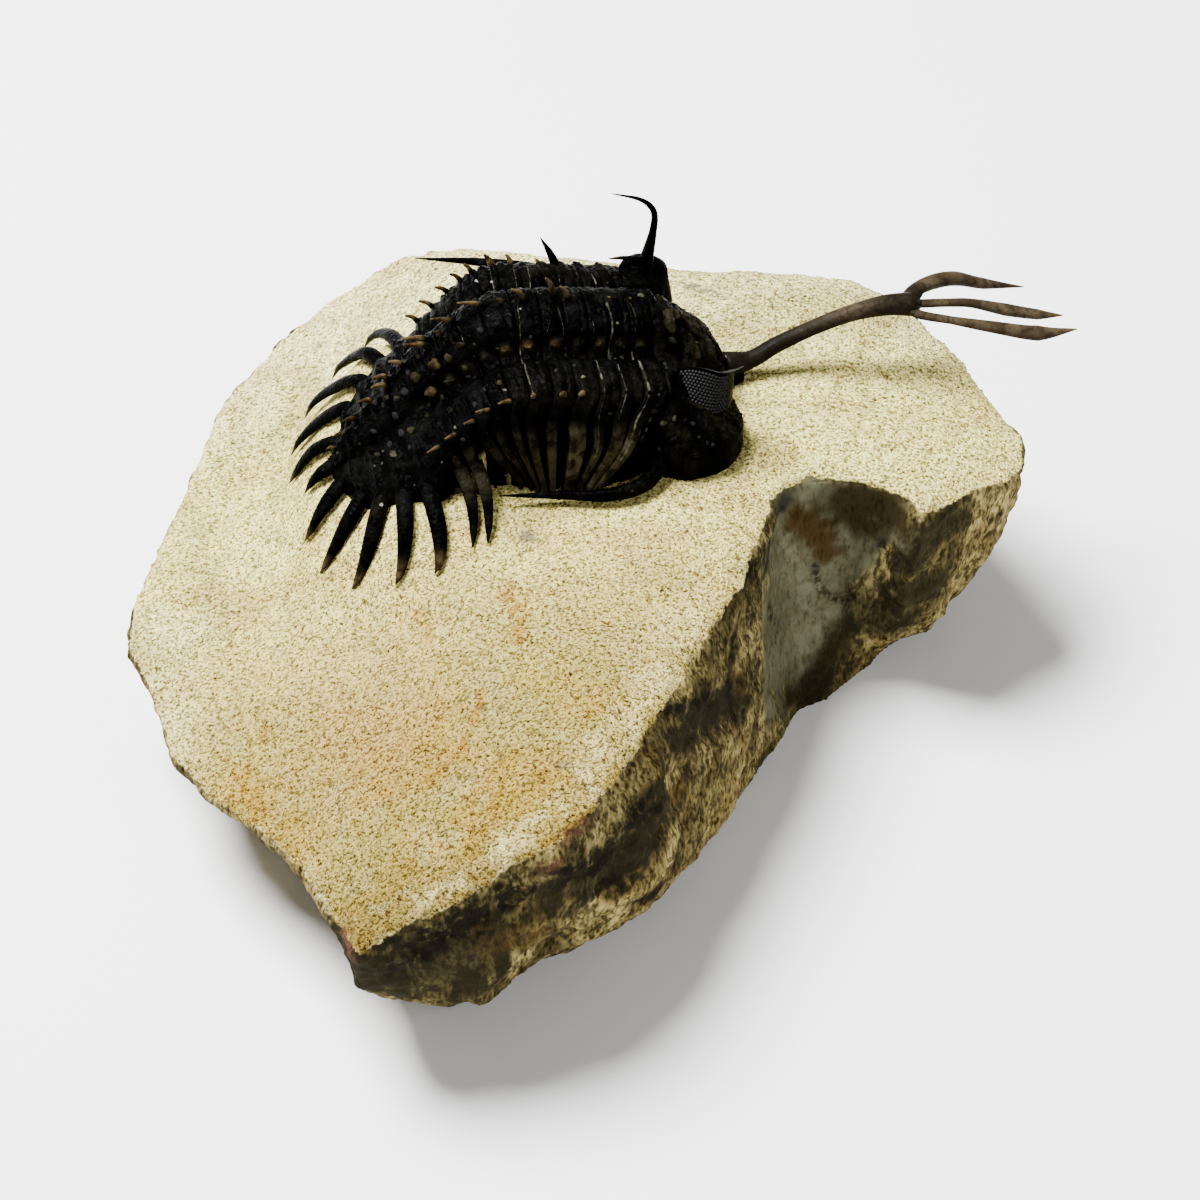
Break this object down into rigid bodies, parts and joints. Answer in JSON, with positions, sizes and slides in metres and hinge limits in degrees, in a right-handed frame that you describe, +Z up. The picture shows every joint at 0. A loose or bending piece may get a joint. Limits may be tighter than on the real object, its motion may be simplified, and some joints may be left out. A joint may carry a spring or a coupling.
{
  "type": "trilobite fossil on matrix",
  "caption": "Spiny trilobite fossil with a long forked head spine, jointed body rings and clawed tail shield, standing on a rough limestone block that rests on its flat underside.",
  "frame": {"origin": "centre of the stone's flat underside, on the surface it rests on", "axes": "+Z up, away from the flat underside; +X the way the animal faces; Y across the stone's longest dimension, -Y the pictured side"},
  "size_m": [0.1019, 0.1059, 0.0499],
  "materials": {
    "limestone": "matt, granular",
    "black_shell": "satin, polished by the preparation",
    "brown_shell": "satin"
  },
  "bodies": {
    "root": {"matrix_stone": "limestone", "cephalon": "black_shell", "trident_shaft": "brown_shell", "trident_left_tine": "brown_shell", "trident_middle_tine": "brown_shell", "trident_right_tine": "brown_shell", "thoracic_segment_01": "black_shell", "thoracic_segment_02": "black_shell", "thoracic_segment_03": "black_shell", "thoracic_segment_04": "black_shell", "thoracic_segment_05": "black_shell", "thoracic_segment_06": "black_shell", "thoracic_segment_07": "black_shell", "thoracic_segment_08": "black_shell", "thoracic_segment_09": "black_shell", "thoracic_segment_10": "black_shell", "thoracic_segment_11": "black_shell", "pygidium": "black_shell"}
  },
  "joints": []
}
